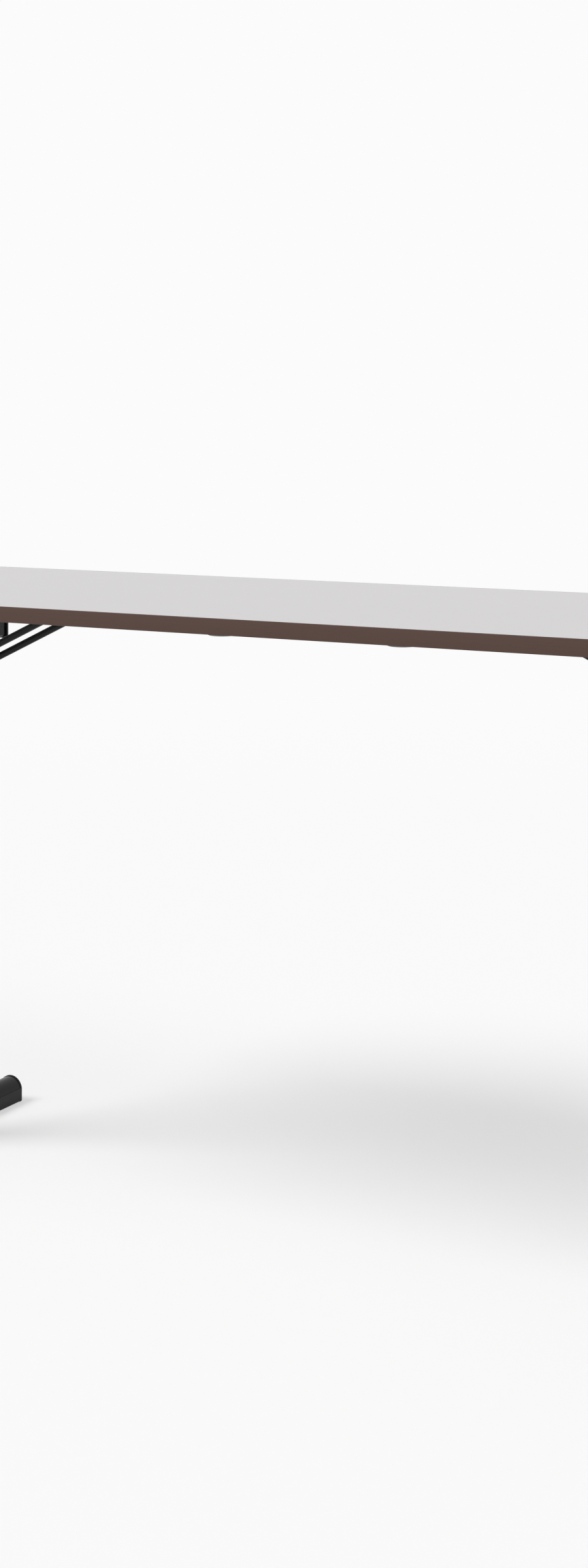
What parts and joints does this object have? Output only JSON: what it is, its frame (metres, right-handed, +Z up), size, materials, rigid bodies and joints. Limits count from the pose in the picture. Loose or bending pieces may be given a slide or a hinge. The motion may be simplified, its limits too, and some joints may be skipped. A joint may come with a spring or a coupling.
{
  "type": "folding training table",
  "caption": "Folding training table: flat banded worktop on T legs that fold in under it, each held open by a bent-rod stay in a spring catch.",
  "frame": {"origin": "on the floor, under the middle of the worktop, with the table open", "axes": "+X along the worktop's length, +Y from the near long edge to the far one, +Z up"},
  "size_m": [1.4, 0.5, 0.73],
  "materials": {
    "core": "raw particle board",
    "worktop": "fine matt high-pressure laminate",
    "backing": "matt balancing laminate",
    "edge": "satin ABS edge band",
    "black_steel": "satin black powder coat",
    "spring_steel": "blued spring steel",
    "zinc": "bright zinc plate",
    "black_bolt": "black oxide",
    "nylon": "moulded nylon",
    "black_plastic": "moulded polyethylene",
    "rubber": "moulded rubber"
  },
  "bodies": {
    "table_top": {"core_board": "core", "top_laminate": "worktop", "backing_laminate": "backing", "edge_band": "edge", "rubber_buffers": "rubber", "buffer_screws": "zinc", "left_pivot_brackets": "black_steel", "left_bracket_screws": "zinc", "left_catch_saddle": "black_steel", "left_catch_spring": "spring_steel", "left_catch_screws": "zinc", "right_pivot_brackets": "black_steel", "right_bracket_screws": "zinc", "right_catch_saddle": "black_steel", "right_catch_spring": "spring_steel", "right_catch_screws": "zinc"},
    "left_leg": {"left_cross_tube": "black_steel", "left_tube_plugs": "zinc", "left_pivot_washers": "nylon", "left_pivot_bolts": "black_bolt", "left_column": "black_steel", "left_foot_beam": "black_steel", "left_foot_caps": "black_plastic", "left_brace_bushes": "nylon"},
    "left_stay": {"left_brace": "black_steel"},
    "right_leg": {"right_cross_tube": "black_steel", "right_tube_plugs": "zinc", "right_pivot_washers": "nylon", "right_pivot_bolts": "black_bolt", "right_column": "black_steel", "right_foot_beam": "black_steel", "right_foot_caps": "black_plastic", "right_brace_bushes": "nylon"},
    "right_stay": {"right_brace": "black_steel"}
  },
  "joints": [
    {"name": "left_leg_fold", "type": "hinge", "parent": "table_top", "child": "left_leg", "pos_m": [-0.568, 0, 0.662], "axis": [0, -1, 0], "range_deg": [0, 90], "deforming": ["left_catch_spring"]},
    {"name": "left_stay_swing", "type": "hinge", "parent": "left_leg", "child": "left_stay", "pos_m": [-0.568, 0, 0.59], "axis": [0, -1, 0], "range_deg": [-109.49, 0]},
    {"name": "right_leg_fold", "type": "hinge", "parent": "table_top", "child": "right_leg", "pos_m": [0.568, 0, 0.662], "axis": [0, 1, 0], "range_deg": [0, 85.9], "deforming": ["right_catch_spring"]},
    {"name": "right_stay_swing", "type": "hinge", "parent": "right_leg", "child": "right_stay", "pos_m": [0.568, 0, 0.59], "axis": [0, 1, 0], "range_deg": [-104.51, 0]}
  ],
  "couplings": [
    {"joint": "left_stay_swing", "follows": "left_leg_fold", "ratio": -1.216},
    {"joint": "right_stay_swing", "follows": "right_leg_fold", "ratio": -1.216}
  ]
}
